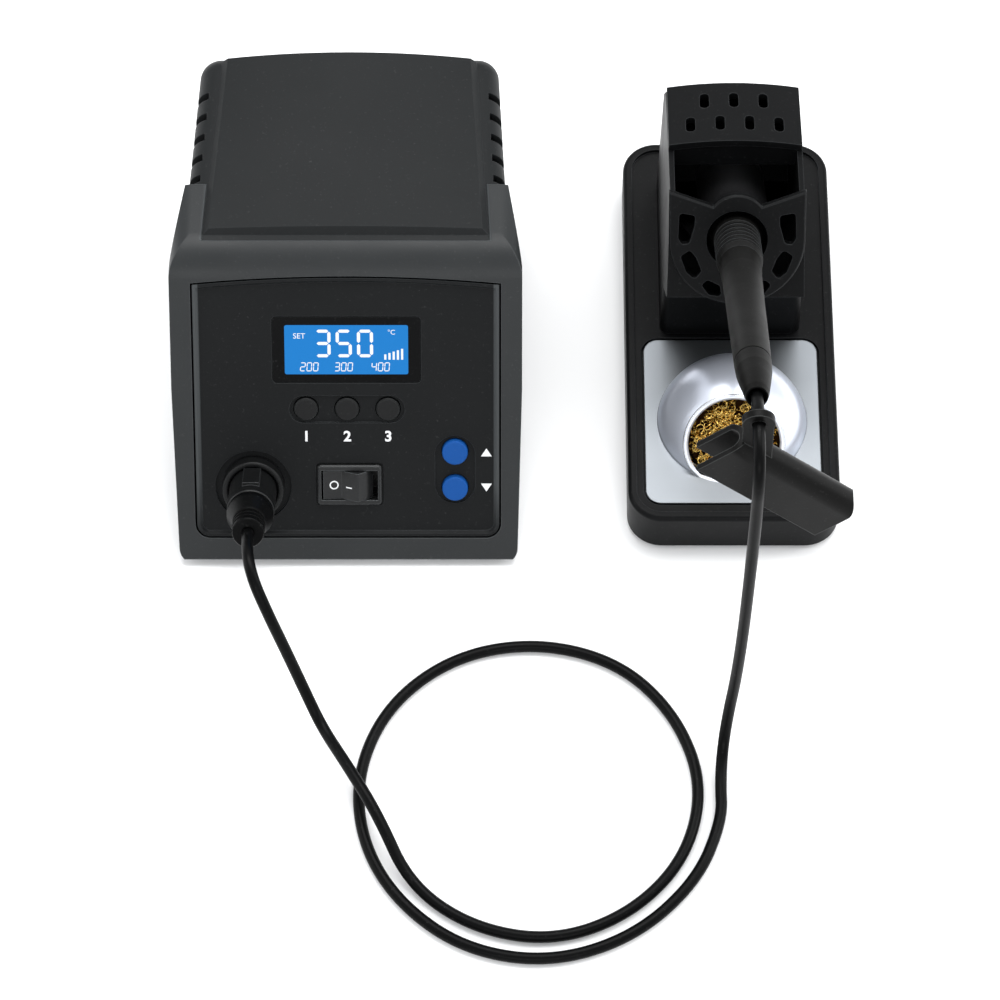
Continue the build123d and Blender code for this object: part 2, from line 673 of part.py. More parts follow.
def tower_hood():
    """Arched bridge over the back of the tunnel, with two rows of slots and a lip under its front."""
    length, tilt = hood_line()
    half = tower_width / 2 - 1.6
    top = [(-half, 0), (0, hood_rise), (half, 0)]
    under = [(half, -hood_sheet), (0, hood_rise - hood_sheet), (-half, -hood_sheet)]
    outline = [ThreePointArc(*top), Line(top[2], under[0]), ThreePointArc(*under), Line(under[2], top[0])]
    form = extrude(Plane.XZ * make_face(outline), -length)
    for count, y in ((4, length * 0.31), (3, length * 0.70)):
        for i in range(count):
            form -= stadium(hood_slot[0], hood_slot[1], -9, 9, (i - (count - 1) / 2) * hood_slot_pitch, y)
    lip_half = tunnel_width / 2 - gap
    lip = Pos(0, 1.0, 0) * extrude(Plane.XZ * make_face(Polyline(
        (-lip_half, -1), (lip_half, -1), (lip_half, -hood_lip), (-lip_half, -hood_lip), close=True)), -1.6)
    form += lip - (Pos(0, -1, 0) * extrude(Plane.XZ * make_face(Polyline(
        (-half, 20),
        *[(x, hood_rise * (1 - (x / half) ** 2) - 1) for x in (-half, -half / 2, 0, half / 2, half)],
        (half, 20), close=True)), -6))
    return Pos(stand_x, *hood_front) * Rot(tilt, 0, 0) * form


plate_wing, plate_notch, plate_arch = 16.6, 11.4, 15.4     # heights of the upper edge above the hole
plate_notch_x = 8.0
vent_outlines = [
    [(-18.9, 9.4), (-13.7, 8.4), (-13.9, 4.8), (-15.6, -1.2), (-18.0, -1.6), (-19.2, 0.6)],
    [(-18.4, -5.6), (-15.3, -3.4), (-13.2, -6.2), (-11.4, -10.8), (-13.6, -13.6), (-16.4, -11.2)],
    [(-11.5, -15.6), (-9.4, -13.8), (-5.4, -15.8), (-4.6, -19.8), (-9.0, -19.0)]]


def face_plate():
    """Shield across the tunnel's mouth: round below, with wings and a low arch above."""
    half = tower_width / 2 - 1.2
    outline = [Line((-half, 0), (-half, plate_wing)),
               Line((-half, plate_wing), (-plate_notch_x, plate_notch)),
               ThreePointArc((-plate_notch_x, plate_notch), (0, plate_arch), (plate_notch_x, plate_notch)),
               Line((plate_notch_x, plate_notch), (half, plate_wing)), Line((half, plate_wing), (half, 0)),
               ThreePointArc((half, 0), (0, -half), (-half, 0))]
    form = extrude(make_face(outline), -plate_sheet)
    form = chamfer(form.faces().sort_by(Axis.Z)[-1].outer_wire().edges(), 0.5)
    form -= rod(hole_radius, -20, 20)
    for points in vent_outlines:
        vent = make_face(Polyline(*points, close=True))
        vent = fillet(vent.vertices(), 1.1)
        hole = Pos(0, 0, -10) * extrude(vent, 20)
        form -= hole
        form -= mirror(hole, Plane.YZ)
    return on_iron(form)


def holder_sleeve():
    form = tube(hole_radius + 1.4, hole_radius + 0.6, -58, -plate_sheet)
    return on_iron(form + tube(hole_radius + 3.0, hole_radius + 0.6, -plate_sheet - 1.2, -plate_sheet))


# ---- iron ---------------------------------------------------------------------------------------------
def grip_sleeve():
    inner = 4.6
    points = [(inner, -9), (9.4, -9), (9.4, -6.5), (8.2, -4), (7.7, 0)]
    for i in range(6):
        z = 1.5 + 3.4 * i
        points += [(7.6, z), (6.9, z + 0.5), (6.9, z + 1.3), (7.5, z + 1.8)]
    points += [(grip_radius, grip_end), (inner, grip_end)]
    return on_iron(turned(points))


def handle_body():
    inner = 4.6
    points = [(inner, grip_end), (grip_radius, grip_end), (6.5, 34), (6.15, 60),
              (handle_radius + 0.1, joint_end - 10), (handle_radius, joint_end - 0.4),
              (handle_radius - 0.3, joint_end), (inner, joint_end)]
    return on_iron(turned(points))


cap_recess_radius, cap_recess = 2.9, 4.0      # the cord comes out of a hollow in the cap's end


def handle_cap():
    inner = 4.5
    points = [(4.55, joint_end - 8), (inner + 0.05, joint_end), (handle_radius - 0.3, joint_end),
              (handle_radius, joint_end + 0.5), (handle_radius - 0.25, joint_end + 8),
              (cap_radius + 1.5, cap_end - 12.4), (cap_radius + 0.5, cap_end - 3), (cap_radius, cap_end),
              (cap_recess_radius, cap_end), (cap_recess_radius, cap_end - cap_recess),
              (cord_radius + 0.5, cap_end - cap_recess), (cord_radius + 0.5, cap_end - 14),
              (3.6, cap_end - 18), (3.6, joint_end - 8)]
    return on_iron(turned(points))


def cord_bush():
    return on_iron(tube(cord_radius + 0.45, cord_radius + slip, cap_end - 13.5, cap_end - cap_recess - 0.5))


def iron_tip():
    points = [(2.2, -30), (2.2, -44), (3.2, -44), (3.2, -47), (2.3, -52), (0.5, -66), (0, -66.5), (0, -46),
              (1.7, -46), (1.7, -30)]
    return on_iron(turned(points))


def heater_element():
    return on_iron(rod(1.6, -45, 10))


def tip_barrel():
    points = [(2.3, -43.5), (3.4, -43.5), (3.4, -16), (5.2, -16), (5.2, -14), (2.3, -14)]
    return on_iron(turned(points))


def barrel_nut():
    points = [(3.5, -24), (5.4, -24), (5.9, -20), (5.9, -9.1), (5.3, -9.1), (5.3, -18), (3.5, -18)]
    return on_iron(turned(points))


def barrel_stem():
    return on_iron(tube(4.5, 1.7, -13.9, grip_end - 2) - rod(3.0, -2, 30))


def terminal_board():
    return on_iron(block((-3.6, 3.6), (-0.6, 0.6), (grip_end + 4, joint_end - 12)))


# ---- tip pad: folded silicone pad that hangs on the cord by its ring ------------------------------------
pad_thick, pad_arm, pad_length, pad_depth = 10.0, 1.9, 53.0, 18.5
pad_corner = (56.9, 139.8)          # x and height of the folded pad's upper open corner
pad_back_y = -101.8
ring_height, ring_radius = 161.05, 5.0        # the ring is the round top end of an upright neck
neck_width, neck_back_y, neck_sheet = 9.4, -106.8, 2.5


def tip_pad():
    """Hairpin section run along a falling 45 degree line, with an upright neck and ring above its fold."""
    section = slab(pad_depth * 2, pad_thick, pad_thick / 2 - 0.2, 0, pad_length)
    slot = slab(pad_depth * 2 - 2 * pad_arm, pad_thick - 2 * pad_arm, pad_thick / 2 - pad_arm - 0.2, -1,
                pad_length + 1)
    fold = (section - slot) & block((0, pad_depth + 1), (-pad_thick, pad_thick), (-1, pad_length + 1))
    rounding = block((-1, pad_depth + 1), (-pad_thick, pad_thick), (0, pad_length))
    corner = rounding.edges().filter_by(Axis.Y).sort_by(lambda e: -e.center().X)[:2]
    fold = fold & fillet(corner, 6.0)
    along = Plane(origin=(pad_corner[0], pad_back_y - pad_thick / 2, pad_corner[1]), x_dir=(1, 0, 1),
                  z_dir=(1, 0, -1))
    fold = along.location * fold
    crest = pad_corner[1] + pad_depth / sqrt(2) - (stand_x - pad_corner[0] - pad_depth / sqrt(2))
    half = neck_width / 2
    outline = Polyline((stand_x - half, ring_height), (stand_x + half, ring_height),
                       (stand_x + half, crest - half - 0.8), (stand_x - half, crest + half - 0.8), close=True)
    neck = Pos(0, neck_back_y, 0) * extrude(Plane.XZ * make_face(outline), neck_sheet)
    across = Pos(stand_x, neck_back_y, ring_height) * Plane.XZ.location
    ring = across * rod(ring_radius, 0, neck_sheet)
    hole = across * rod(cord_radius + gap, -5, neck_sheet + 5)
    return fold + neck + ring - hole


# ---- cord ---------------------------------------------------------------------------------------------
lying = cord_radius + 0.05
route = [
    (-83.5, -86.3, 53.6), (-81.5, -97.0, 52.8), (-76.5, -105.0, 43.5), (-71.0, -110.5, 29.0),
    (-65.5, -116.5, 14.5), (-60.0, -125.0, 5.5), (-52.0, -140.6, 9.9), (-41.6, -159.0, 9.9),
    (-31.3, -180.5, lying), (-11.1, -195.8, lying), (14.7, -200.5, lying), (39.3, -190.5, lying),
    (57.0, -170.4, lying), (62.7, -144.1, lying), (54.5, -118.6, lying), (36.5, -98.9, lying),
    (9.9, -91.1, lying), (-17.2, -96.3, lying), (-38.5, -114.1, lying), (-48.6, -139.2, lying),
    (-46.9, -164.6, lying), (-35.1, -186.6, lying), (-13.9, -203.3, lying), (13.5, -208.0, lying),
    (40.0, -198.8, lying), (60.0, -179.1, lying), (68.6, -157.0, lying), (68.3, -143.0, lying + 0.4),
    (69.3, -131.5, 6.0), (70.8, -126.0, 18.0), (72.3, -125.2, 36.0), (73.4, -125.0, 62.0),
    (74.0, -125.0, 90.0), (74.4, -125.0, 116.0), (74.65, -125.0, 138.0), (74.65, -125.3, 153.3),
    (74.65, -117.5, ring_height), (74.65, -102.6, ring_height)]


def cord_route():
    """The chosen points between the plug's end and the handle's end."""
    start = (front.location * Pos(socket_x, panel_foot + socket_y, plug_end)).position
    stop = (iron_plane.location * Pos(0, 0, cap_end - cap_recess - 1.0)).position
    return [start, *[Vector(*p) for p in route], stop]


def corner_radii(points):
    """Largest even arc at each corner: 0.45 of the shorter run over the tangent of half the turn."""
    radii = []
    for before, here, after in zip(points, points[1:], points[2:]):
        first, second = here - before, after - here
        turn = radians(first.get_angle(second))
        radii.append(0.45 * min(first.length, second.length) / tan(turn / 2))
    return radii


def iron_cord():
    points = cord_route()
    radii = corner_radii(points)
    path = FilletPolyline(*points, radius=radii)
    runs = [(b - a).length for a, b in zip(points, points[1:])]
    print("cord runs ", [round(r, 1) for r in runs])
    print("cord radii", [round(r, 1) for r in radii])
    section = Plane(origin=path @ 0, z_dir=path % 0) * Circle(cord_radius)
    form = sweep(section, path=path)
    print("cord length %.1f, volume over section times length %.4f"
          % (path.length, form.volume / (pi * cord_radius ** 2 * path.length)))
    return form


# ---- every piece ----------------------------------------------------------------------------------------
def placed_buttons():
    buttons = {}
    for i, number in ((-1, 1), (0, 2), (1, 3)):
        buttons["preset_button_%d" % number] = on_front(button(preset_radius, 0.3), i * preset_pitch,
                                                        preset_y)
    for name, y in (("temp_down_button", step_ys[0]), ("temp_up_button", step_ys[1])):
        buttons[name] = on_front(button(step_radius, 1.6), step_x, y)
    return buttons


makers = [
    lower_housing, top_cover, front_frame, housing_screws, unit_feet, front_panel, lcd_window, lcd_module,
    control_board, board_screws, tact_switches, rocker_housing, rocker_paddle, panel_socket, socket_nut,
    socket_contacts, plug_shell, plug_collar, plug_pins, transformer_core, transformer_winding,
    power_heatsink,
    mains_inlet, inlet_pins, stand_base, stand_bottom_plate, stand_screws, stand_feet, cleaner_tray, wool_cup,
    brass_wool, holder_tower, tower_hood, face_plate, holder_sleeve, grip_sleeve, handle_body, handle_cap,
    cord_bush, iron_tip, heater_element, tip_barrel, barrel_nut, barrel_stem, terminal_board, tip_pad,
    iron_cord]


def main():
    os.makedirs("parts", exist_ok=True)
    pieces = {maker.__name__: maker() for maker in makers}
    pieces.update(placed_buttons())
    for name, shape in pieces.items():
        export_step(shape, "parts/%s.step" % name)


main()
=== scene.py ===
import json
import math

import bpy
import numpy as np
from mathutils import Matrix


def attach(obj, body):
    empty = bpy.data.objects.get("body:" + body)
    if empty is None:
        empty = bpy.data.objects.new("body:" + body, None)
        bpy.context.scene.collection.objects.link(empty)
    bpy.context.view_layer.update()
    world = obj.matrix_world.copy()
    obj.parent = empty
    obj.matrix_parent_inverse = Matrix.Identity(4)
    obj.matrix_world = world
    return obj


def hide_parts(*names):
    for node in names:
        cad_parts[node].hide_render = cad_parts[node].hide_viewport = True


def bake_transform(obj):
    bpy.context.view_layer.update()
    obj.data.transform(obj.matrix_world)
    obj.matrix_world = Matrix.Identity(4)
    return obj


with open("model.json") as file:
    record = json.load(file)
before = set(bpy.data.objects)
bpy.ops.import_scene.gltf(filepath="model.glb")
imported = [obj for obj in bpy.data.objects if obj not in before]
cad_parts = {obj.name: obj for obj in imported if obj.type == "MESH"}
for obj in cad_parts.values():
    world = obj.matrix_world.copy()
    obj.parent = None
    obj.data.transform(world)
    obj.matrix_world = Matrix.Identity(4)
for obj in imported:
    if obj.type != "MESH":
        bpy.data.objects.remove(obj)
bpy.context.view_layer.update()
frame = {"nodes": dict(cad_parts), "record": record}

print("frame loaded")

# the panel's own axes: x right, y up the slope, z out of the panel
panel = {"x": -0.0525, "footY": -0.0600, "footZ": 0.0030, "lean": 36.0, "opening": 0.0076, "face": -0.0012}


def onPanel(points):
    # world = foot + x * right + (opening + y) * up the slope + z * out of the panel
    p = np.asarray(points, float)
    lean = math.radians(panel["lean"])
    up = np.array([0.0, math.sin(lean), math.cos(lean)])
    out = np.array([0.0, -math.cos(lean), math.sin(lean)])
    foot = np.array([panel["x"], panel["footY"], panel["footZ"]])
    return foot + p[:, :1] * np.array([1.0, 0, 0]) + (p[:, 1:2] + panel["opening"]) * up + p[:, 2:3] * out


def makePiece(name, points, faces, materialName, smooth=True):
    mesh = bpy.data.meshes.new(name)
    mesh.from_pydata(np.asarray(points, float).tolist(), [], [list(map(int, f)) for f in faces])
    mesh.update()
    mesh.polygons.foreach_set("use_smooth", [smooth] * len(mesh.polygons))
    piece = bpy.data.objects.new(name, mesh)
    bpy.context.scene.collection.objects.link(piece)
    piece.data.materials.append(finishes[materialName])
    return piece


def gridFaces(rows, cols, wrapRows=False, wrapCols=False):
    # quads between neighbouring rows and columns of a grid, joined round where it wraps
    r = np.arange(rows if wrapRows else rows - 1)
    c = np.arange(cols if wrapCols else cols - 1)
    i, j = np.meshgrid(r, c, indexing="ij")
    i2, j2 = (i + 1) % rows, (j + 1) % cols
    return np.stack([i * cols + j, i * cols + j2, i2 * cols + j2, i2 * cols + j], -1).reshape(-1, 4)


def addBevel(piece, width, segments=2, angle=35.0):
    bevel = piece.modifiers.new("bevel", "BEVEL")
    bevel.width = width
    bevel.segments = segments
    bevel.limit_method = "ANGLE"
    bevel.angle_limit = math.radians(angle)
    return bevel


# camera first, at the viewing angle: high in front, looking down
view = {"target": (-0.00255, -0.0350, 0.0), "elevation": 58.0, "distance": 1.667, "lens": 180.0}


def makeCamera():
    data = bpy.data.cameras.new("camera")
    data.lens = view["lens"]
    data.sensor_width = 36.0
    data.clip_start = 0.05
    data.clip_end = 50.0
    camera = bpy.data.objects.new("camera", data)
    e = math.radians(view["elevation"])
    x, y, z = view["target"]
    camera.location = (x, y - math.cos(e) * view["distance"], z + math.sin(e) * view["distance"])
    camera.rotation_euler = (math.radians(90 - view["elevation"]), 0, 0)
    bpy.context.scene.collection.objects.link(camera)
    bpy.context.scene.camera = camera


makeCamera()
print("camera placed")

def newGroup(name, inputs, outputs):
    tree = bpy.data.node_groups.new(name, "ShaderNodeTree")
    for label, kind, value in inputs:
        socket = tree.interface.new_socket(name=label, in_out="INPUT", socket_type=kind)
        if value is not None:
            socket.default_value = value
    for label, kind in outputs:
        tree.interface.new_socket(name=label, in_out="OUTPUT", socket_type=kind)
    return tree, tree.nodes.new("NodeGroupInput"), tree.nodes.new("NodeGroupOutput")


def addMath(tree, operation, a, b=None, c=None, clamp=False):
    node = tree.nodes.new("ShaderNodeMath")
    node.operation = operation
    node.use_clamp = clamp
    for slot, value in zip(node.inputs, (a, b, c)):
        if value is None:
            continue
        if isinstance(value, (int, float)):
            slot.default_value = value
        else:
            tree.links.new(value, slot)
    return node.outputs[0]


def addNoise(tree, vector, scale, detail=3.0, rough=0.55, distortion=0.0):
    node = tree.nodes.new("ShaderNodeTexNoise")
    node.inputs["Detail"].default_value = detail
    node.inputs["Roughness"].default_value = rough
    node.inputs["Distortion"].default_value = distortion
    tree.links.new(vector, node.inputs["Vector"])
    if isinstance(scale, (int, float)):
        node.inputs["Scale"].default_value = scale
    else:
        tree.links.new(scale, node.inputs["Scale"])
    return node.outputs["Fac"]


def mixColors(tree, factor, a, b):
    node = tree.nodes.new("ShaderNodeMix")
    node.data_type = "RGBA"
    for value, slot in ((factor, node.inputs[0]), (a, node.inputs[6]), (b, node.inputs[7])):
        if isinstance(value, (tuple, list, float, int)):
            slot.default_value = value
        else:
            tree.links.new(value, slot)
    return node.outputs[2]


def buildGrain():
    # fine moulded texture: a small noise for the spark-eroded skin and a larger one for slight waviness
    inputs = [("Vector", "NodeSocketVector", None), ("Scale", "NodeSocketFloat", 2500.0),
              ("Wave", "NodeSocketFloat", 0.2)]
    outputs = [("Height", "NodeSocketFloat"), ("Mask", "NodeSocketFloat")]
    tree, inside, outside = newGroup("mouldGrain", inputs, outputs)
    fine = addNoise(tree, inside.outputs["Vector"], inside.outputs["Scale"], 2.0, 0.6)
    slow = addNoise(tree, inside.outputs["Vector"], 60.0, 2.0, 0.5)
    height = addMath(tree, "MULTIPLY_ADD", slow, inside.outputs["Wave"], fine)
    tree.links.new(height, outside.inputs["Height"])
    tree.links.new(slow, outside.inputs["Mask"])
    return tree


def buildHandling():
    # handling: soft smudges where fingers polish the surface, with a little settled dust between them
    inputs = [("Vector", "NodeSocketVector", None), ("Smudge", "NodeSocketFloat", 0.5)]
    outputs = [("Smudge", "NodeSocketFloat"), ("Dust", "NodeSocketFloat")]
    tree, inside, outside = newGroup("handling", inputs, outputs)
    blot = addNoise(tree, inside.outputs["Vector"], 38.0, 4.0, 0.6, 0.4)
    ramp = tree.nodes.new("ShaderNodeMapRange")
    ramp.inputs["From Min"].default_value = 0.42
    ramp.inputs["From Max"].default_value = 0.68
    tree.links.new(blot, ramp.inputs["Value"])
    smudge = addMath(tree, "MULTIPLY", ramp.outputs["Result"], inside.outputs["Smudge"])
    tree.links.new(smudge, outside.inputs["Smudge"])
    specks = addNoise(tree, inside.outputs["Vector"], 900.0, 3.0, 0.7)
    dust = tree.nodes.new("ShaderNodeMapRange")
    dust.inputs["From Min"].default_value = 0.62
    dust.inputs["From Max"].default_value = 0.8
    tree.links.new(specks, dust.inputs["Value"])
    tree.links.new(dust.outputs["Result"], outside.inputs["Dust"])
    return tree


def buildEdge():
    # edge mask: how far the rounded-edge normal turns from the face's own normal; the mask paints a
    # highlight colour along the edges, and the normal rounds them
    tree, inside, outside = newGroup("edgeCatch", [("Strength", "NodeSocketFloat", 1.0)],
                                     [("Mask", "NodeSocketFloat"), ("Normal", "NodeSocketVector")])
    bevel = tree.nodes.new("ShaderNodeBevel")
    bevel.samples = 5
    bevel.inputs["Radius"].default_value = 0.00045
    geometry = tree.nodes.new("ShaderNodeNewGeometry")
    dot = tree.nodes.new("ShaderNodeVectorMath")
    dot.operation = "DOT_PRODUCT"
    tree.links.new(bevel.outputs["Normal"], dot.inputs[0])
    tree.links.new(geometry.outputs["Normal"], dot.inputs[1])
    turned = addMath(tree, "SUBTRACT", 1.0, dot.outputs["Value"], clamp=True)
    lifted = addMath(tree, "MULTIPLY", turned, inside.outputs["Strength"], clamp=True)
    tree.links.new(lifted, outside.inputs["Mask"])
    tree.links.new(bevel.outputs["Normal"], outside.inputs["Normal"])
    return tree


groups = {"grain": buildGrain(), "handling": buildHandling(), "edge": buildEdge()}
finishes = {}


def startMaterial(name):
    material = bpy.data.materials.new(name)
    material.use_nodes = True
    tree = material.node_tree
    tree.nodes.clear()
    output = tree.nodes.new("ShaderNodeOutputMaterial")
    shader = tree.nodes.new("ShaderNodeBsdfPrincipled")
    tree.links.new(shader.outputs[0], output.inputs[0])
    coordinates = tree.nodes.new("ShaderNodeTexCoord")
    finishes[name] = material
    return tree, shader, coordinates


def placeGroup(tree, key, **values):
    node = tree.nodes.new("ShaderNodeGroup")
    node.node_tree = groups[key]
    for label, value in values.items():
        if isinstance(value, (int, float)):
            node.inputs[label].default_value = value
        else:
            tree.links.new(value, node.inputs[label])
    return node


# painted highlight on the panel's side bevels: band of distance from the panel's middle, band of height, and
# its colour
panelSideHighlight = {"side": (0.0477, 0.0481), "foot": (0.010, 0.024), "color": (0.052, 0.056, 0.058, 1)}


def mouldedPlastic(name, color, rough, grain=2600.0, depth=0.00003, edge=0.35, smudge=0.5, specular=0.5,
                   edgeHighlight=(0.12, 0.13, 0.135), border=False):
    tree, shader, coordinates = startMaterial(name)
    place = coordinates.outputs["Object"]
    skin = placeGroup(tree, "grain", Vector=place, Scale=grain, Wave=0.15)
    hands = placeGroup(tree, "handling", Vector=place, Smudge=smudge)
    rim = placeGroup(tree, "edge", Strength=edge * 6)
    shade = tuple(c * 0.86 for c in color)
    body = mixColors(tree, skin.outputs["Mask"], (*shade, 1), (*color, 1))
    settled = addMath(tree, "MULTIPLY", hands.outputs["Dust"], 0.05)
    dusted = mixColors(tree, settled, body, (0.45, 0.45, 0.45, 1))
    # painted highlight: a light colour mixed into the edges where the edge mask is strong
    lit = mixColors(tree, addMath(tree, "MULTIPLY", rim.outputs["Mask"], edge), dusted, (*edgeHighlight, 1))
    if border:  # painted highlight down both sides of the panel, where the raised lip faces the light, growing towards the top
        parts = tree.nodes.new("ShaderNodeSeparateXYZ")
        tree.links.new(place, parts.inputs[0])
        apart = addMath(tree, "ABSOLUTE", addMath(tree, "SUBTRACT", parts.outputs["X"], panel["x"]))
        beyond = tree.nodes.new("ShaderNodeMapRange")
        beyond.inputs["From Min"].default_value, beyond.inputs["From Max"].default_value = panelSideHighlight["side"]
        tree.links.new(apart, beyond.inputs["Value"])
        foot = tree.nodes.new("ShaderNodeMapRange")
        foot.inputs["From Min"].default_value, foot.inputs["From Max"].default_value = panelSideHighlight["foot"]
        tree.links.new(parts.outputs["Z"], foot.inputs["Value"])
        strip = addMath(tree, "MULTIPLY", beyond.outputs["Result"], foot.outputs["Result"])
        lit = mixColors(tree, strip, lit, panelSideHighlight["color"])
    tree.links.new(lit, shader.inputs["Base Color"])
    roughness = addMath(tree, "MULTIPLY_ADD", hands.outputs["Smudge"], -0.14, rough)
    uneven = addMath(tree, "MULTIPLY_ADD", skin.outputs["Mask"], 0.06, roughness)
    tree.links.new(uneven, shader.inputs["Roughness"])
    shader.inputs["Specular IOR Level"].default_value = specular
    bump = tree.nodes.new("ShaderNodeBump")
    bump.inputs["Strength"].default_value = 0.5
    bump.inputs["Distance"].default_value = depth
    tree.links.new(skin.outputs["Height"], bump.inputs["Height"])
    tree.links.new(rim.outputs["Normal"], bump.inputs["Normal"])
    tree.links.new(bump.outputs["Normal"], shader.inputs["Normal"])
    return shader


def metalFinish(name, color, rough, brushed=0.0, edge=0.2, stretch=(1, 40, 1)):
    tree, shader, coordinates = startMaterial(name)
    place = tree.nodes.new("ShaderNodeMapping")
    place.inputs["Scale"].default_value = stretch
    tree.links.new(coordinates.outputs["Object"], place.inputs["Vector"])
    lines = addNoise(tree, place.outputs["Vector"], 900.0, 3.0, 0.6)
    blot = addNoise(tree, coordinates.outputs["Object"], 45.0, 3.0, 0.5)
    dark = tuple(c * 0.82 for c in color)
    tree.links.new(mixColors(tree, blot, (*dark, 1), (*color, 1)), shader.inputs["Base Color"])
    shader.inputs["Metallic"].default_value = 1.0
    spread = addMath(tree, "MULTIPLY_ADD", lines, 0.12 * (0.3 + brushed), rough)
    tree.links.new(spread, shader.inputs["Roughness"])
    bump = tree.nodes.new("ShaderNodeBump")
    bump.inputs["Strength"].default_value = 0.15 + 0.5 * brushed
    bump.inputs["Distance"].default_value = 0.00001
    tree.links.new(lines, bump.inputs["Height"])
    rim = placeGroup(tree, "edge", Strength=edge)
    tree.links.new(rim.outputs["Normal"], bump.inputs["Normal"])
    tree.links.new(bump.outputs["Normal"], shader.inputs["Normal"])
    return shader


def printedInk(name, color, glow=0.0):
    tree, shader, coordinates = startMaterial(name)
    wear = addNoise(tree, coordinates.outputs["Object"], 3000.0, 2.0, 0.6)
    share = 0.28 if glow else 1.0
    faded = tuple(c * 0.88 for c in color)
    shown = mixColors(tree, wear, (*faded, 1), (*color, 1))
    base = mixColors(tree, share, (0, 0, 0, 1), shown)
    tree.links.new(base, shader.inputs["Base Color"])
    shader.inputs["Roughness"].default_value = 0.5
    shader.inputs["Specular IOR Level"].default_value = 0.1
    if glow:
        tree.links.new(shown, shader.inputs["Emission Color"])
        shader.inputs["Emission Strength"].default_value = glow
    return shader


domeFinishAndReflection = {"centre": (0.07465, -0.0145, 0.0), "edge": (0.0250, 0.0246), "metallic": -0.36, "rough": -0.10}


def makePressedMetal():
    # satin sheet with a painted reflection on the dome: a bright bluish colour there, with less metal and
    # less roughness; the distance from the dome's axis tells which is which
    tree, shader, coordinates = startMaterial("trayMetal")
    place = coordinates.outputs["Object"]
    apart = tree.nodes.new("ShaderNodeVectorMath")
    apart.operation = "SUBTRACT"
    apart.inputs[1].default_value = domeFinishAndReflection["centre"]
    tree.links.new(place, apart.inputs[0])
    flat = tree.nodes.new("ShaderNodeVectorMath")
    flat.operation = "MULTIPLY"
    flat.inputs[1].default_value = (1.0, 1.0, 0.0)
    tree.links.new(apart.outputs[0], flat.inputs[0])
    reach = tree.nodes.new("ShaderNodeVectorMath")
    reach.operation = "LENGTH"
    tree.links.new(flat.outputs[0], reach.inputs[0])
    dome = tree.nodes.new("ShaderNodeMapRange")
    dome.inputs["From Min"].default_value, dome.inputs["From Max"].default_value = domeFinishAndReflection["edge"]
    tree.links.new(reach.outputs["Value"], dome.inputs["Value"])
    blot = addNoise(tree, place, 40.0, 3.0, 0.5)
    satin = mixColors(tree, blot, (0.185, 0.198, 0.212, 1), (0.235, 0.25, 0.265, 1))
    # painted reflection: bright bluish colour that stands in for what the polished dome reflects
    domeReflectionPaint = mixColors(tree, blot, (0.64, 0.68, 0.78, 1), (0.76, 0.79, 0.87, 1))
    tree.links.new(mixColors(tree, dome.outputs["Result"], satin, domeReflectionPaint), shader.inputs["Base Color"])
    metallic = addMath(tree, "MULTIPLY_ADD", dome.outputs["Result"], domeFinishAndReflection["metallic"], 1.0)
    tree.links.new(metallic, shader.inputs["Metallic"])
    lines = addNoise(tree, place, 1400.0, 2.0, 0.6)
    spread = addMath(tree, "MULTIPLY_ADD", dome.outputs["Result"], domeFinishAndReflection["rough"], 0.38)
    tree.links.new(addMath(tree, "MULTIPLY_ADD", lines, 0.04, spread), shader.inputs["Roughness"])
    bump = tree.nodes.new("ShaderNodeBump")
    bump.inputs["Strength"].default_value = 0.12
    bump.inputs["Distance"].default_value = 0.00001
    tree.links.new(lines, bump.inputs["Height"])
    rim = placeGroup(tree, "edge", Strength=0.2)
    tree.links.new(rim.outputs["Normal"], bump.inputs["Normal"])
    tree.links.new(bump.outputs["Normal"], shader.inputs["Normal"])


mouldedPlastic("housing", (0.0128, 0.0139, 0.0145), 0.46, edge=0.35, specular=0.10)
mouldedPlastic("frameSkin", (0.0200, 0.0218, 0.0228), 0.42, edge=0.65, specular=0.22)
mouldedPlastic("panelSkin", (0.0072, 0.0078, 0.0083), 0.50, grain=3200.0,
               edge=0.40, specular=0.10, border=True)
mouldedPlastic("displayBezel", (0.0028, 0.0029, 0.0031), 0.30, edge=0.3, specular=0.06)
mouldedPlastic("blackMoulding", (0.0055, 0.0058, 0.0060), 0.36, edge=0.5, specular=0.20)
mouldedPlastic("buttonBlack", (0.0060, 0.0063, 0.0065), 0.40, edge=0.8, specular=0.16)
mouldedPlastic("buttonBlue", (0.0070, 0.072, 0.29), 0.38, edge=0.25, specular=0.10, edgeHighlight=(0.10, 0.25, 0.60))
mouldedPlastic("rockerSkin", (0.0110, 0.0115, 0.0120), 0.30, grain=1800.0, edge=0.7, specular=0.28)
mouldedPlastic("standSkin", (0.0034, 0.0036, 0.0039), 0.42, edge=0.60, specular=0.085,
               edgeHighlight=(0.07, 0.075, 0.078))
mouldedPlastic("handleSkin", (0.0022, 0.0021, 0.0018), 0.44, edge=0.2, specular=0.036)
mouldedPlastic("gripRubber", (0.0036, 0.0035, 0.0033), 0.46, grain=3600.0, edge=0.6, smudge=0.3,
               specular=0.08)
mouldedPlastic("cordRubber", (0.0018, 0.0019, 0.0020), 0.36, grain=1500.0, edge=0.0, smudge=0.7,
               specular=0.07)
mouldedPlastic("padRubber", (0.0030, 0.0029, 0.0027), 0.40, grain=2000.0, edge=1.2,
               specular=0.085, edgeHighlight=(0.07, 0.073, 0.072))
mouldedPlastic("footRubber", (0.010, 0.010, 0.010), 0.7, edge=0.2, specular=0.1)
mouldedPlastic("boardMask", (0.01, 0.09, 0.035), 0.35, edge=0.2, edgeHighlight=(0.3, 0.35, 0.2))
